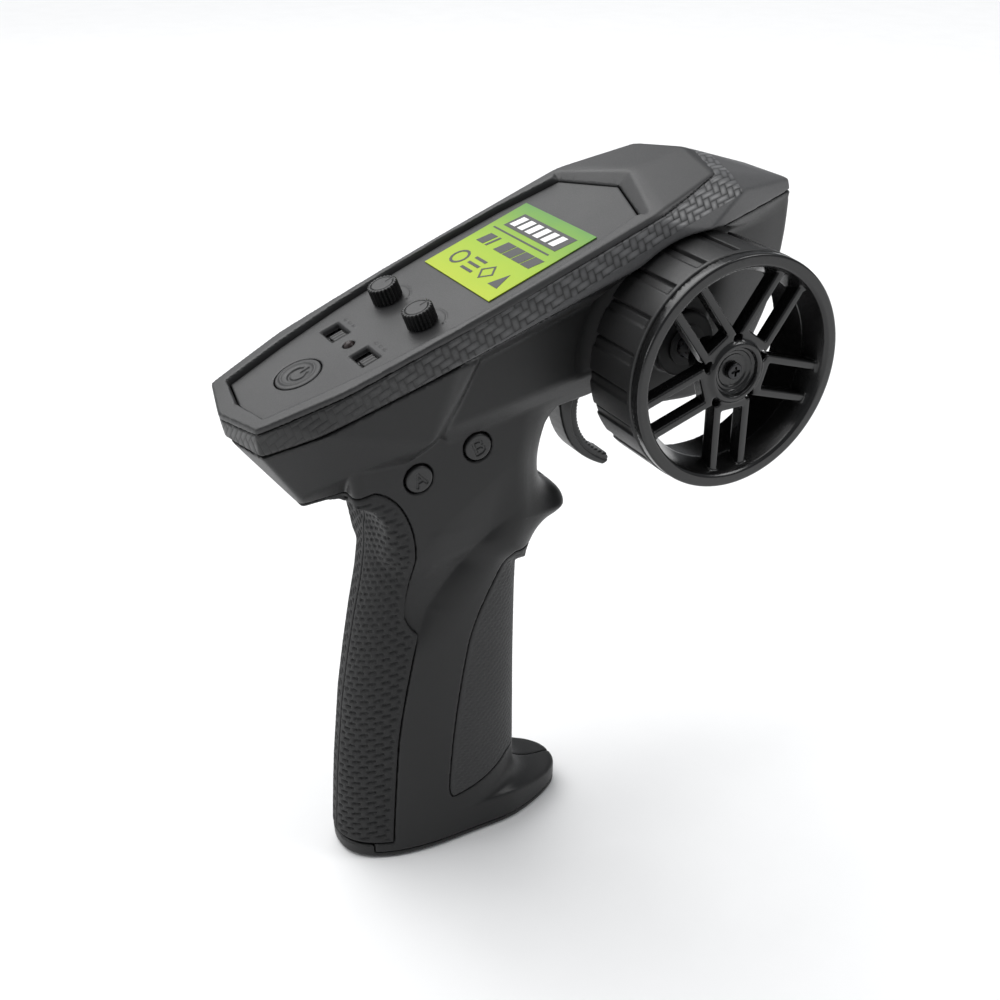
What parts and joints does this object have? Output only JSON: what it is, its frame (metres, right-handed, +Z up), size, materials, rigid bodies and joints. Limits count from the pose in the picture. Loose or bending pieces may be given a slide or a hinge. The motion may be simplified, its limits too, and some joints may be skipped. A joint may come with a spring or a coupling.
{
  "type": "radio transmitter controller",
  "caption": "Pistol-grip radio transmitter with a side steering wheel, a finger trigger, and trims, switches, label and power button on its sloping deck.",
  "frame": {"origin": "on the ground under the grip, on the base face, in the plane where the two casing halves meet", "axes": "+Z up, +Y the way the transmitter points, +X the side of the steering wheel"},
  "size_m": [0.0722, 0.1618, 0.1925],
  "materials": {
    "casing": "satin black moulded plastic with a fine even grain",
    "weave": "charcoal plastic moulded with a two by two weave, satin",
    "charcoal": "charcoal moulded plastic, matte",
    "soft_grip": "black soft grip moulded with short slanted dashes, matte",
    "label": "printed vinyl label, yellow-green shading to green, light gloss",
    "wheel_black": "black plastic, semi-gloss",
    "tread": "black rubber tread, satin",
    "knob_black": "black moulded plastic, satin",
    "part_black": "black component housings",
    "steel": "nickel plated steel",
    "brass": "potentiometer housings, brass coloured",
    "board": "green circuit board",
    "lamp": "dark red moulded lens, gloss",
    "nylon": "white nylon",
    "cell_wrap": "plain blue cell wrap, gloss"
  },
  "bodies": {
    "root": {"right_casing": "casing", "left_casing": "casing", "band_frame": "weave", "top_cover": "charcoal", "control_panel": "charcoal", "rear_grip_pad_left": "soft_grip", "rear_grip_pad_right": "soft_grip", "front_grip_pad_left": "soft_grip", "front_grip_pad_right": "soft_grip", "rating_label": "label", "power_switch": "part_black", "button_a_switch": "part_black", "button_b_switch": "part_black", "battery_box": "part_black", "aerial": "part_black", "steering_spring": "steel", "contact_plate_upper": "steel", "contact_plate_lower": "steel", "reverse_switch_body_left": "steel", "reverse_switch_body_right": "steel", "casing_screw_1": "steel", "casing_screw_2": "steel", "casing_screw_3": "steel", "casing_screw_4": "steel", "casing_screw_5": "steel", "casing_screw_6": "steel", "trim_pot_left": "brass", "trim_pot_right": "brass", "steering_pot": "brass", "trigger_pot": "brass", "main_board": "board", "button_board": "board", "status_lamp": "lamp", "steering_bush": "nylon", "cell_1": "cell_wrap", "cell_2": "cell_wrap", "cell_3": "cell_wrap", "cell_4": "cell_wrap"},
    "steering_wheel": {"steering_wheel_rim": "wheel_black", "steering_wheel_spider": "wheel_black", "steering_wheel_tread": "tread", "steering_wheel_screw": "steel", "steering_shaft": "steel", "steering_spring_arm": "nylon"},
    "trigger": {"trigger": "knob_black", "trigger_pin": "steel"},
    "trim_knob_left": {"trim_knob_left": "knob_black"},
    "trim_knob_right": {"trim_knob_right": "knob_black"},
    "power_button": {"power_button": "charcoal"},
    "button_a": {"button_a": "knob_black"},
    "button_b": {"button_b": "knob_black"},
    "reverse_switch_left": {"reverse_switch_nub_left": "knob_black"},
    "reverse_switch_right": {"reverse_switch_nub_right": "knob_black"},
    "battery_cover": {"battery_cover": "casing"}
  },
  "joints": [
    {"name": "steering", "type": "hinge", "parent": "root", "child": "steering_wheel", "pos_m": [0.03, 0.0574, 0.146], "axis": [1, 0, 0], "range_deg": [-38, 38], "stiffness_Nm_per_rad": 0.08},
    {"name": "trigger_pull", "type": "hinge", "parent": "root", "child": "trigger", "pos_m": [0, 0.0335, 0.14], "axis": [1, 0, 0], "range_deg": [-17, 9], "stiffness_Nm_per_rad": 0.05},
    {"name": "trim_left", "type": "hinge", "parent": "root", "child": "trim_knob_left", "pos_m": [-0.01, -0.01425, 0.162], "axis": [0, -0.3486, 0.9373], "range_deg": [-140, 140]},
    {"name": "trim_right", "type": "hinge", "parent": "root", "child": "trim_knob_right", "pos_m": [0.01, -0.01425, 0.162], "axis": [0, -0.3486, 0.9373], "range_deg": [-140, 140]},
    {"name": "power_press", "type": "slide", "parent": "root", "child": "power_button", "axis": [0, 0.3486, -0.9373], "range_m": [0, 0.0007], "stiffness_N_per_m": 800},
    {"name": "press_a", "type": "slide", "parent": "root", "child": "button_a", "axis": [-1, 0, 0], "range_m": [0, 0.0008], "stiffness_N_per_m": 800},
    {"name": "press_b", "type": "slide", "parent": "root", "child": "button_b", "axis": [-1, 0, 0], "range_m": [0, 0.0008], "stiffness_N_per_m": 800},
    {"name": "reverse_left", "type": "slide", "parent": "root", "child": "reverse_switch_left", "axis": [-1, 0, 0], "range_m": [0, 0.003]},
    {"name": "reverse_right", "type": "slide", "parent": "root", "child": "reverse_switch_right", "axis": [-1, 0, 0], "range_m": [0, 0.003]},
    {"name": "battery_cover_slide", "type": "slide", "parent": "root", "child": "battery_cover", "axis": [0, -1, 0], "range_m": [0, 0.012]}
  ]
}
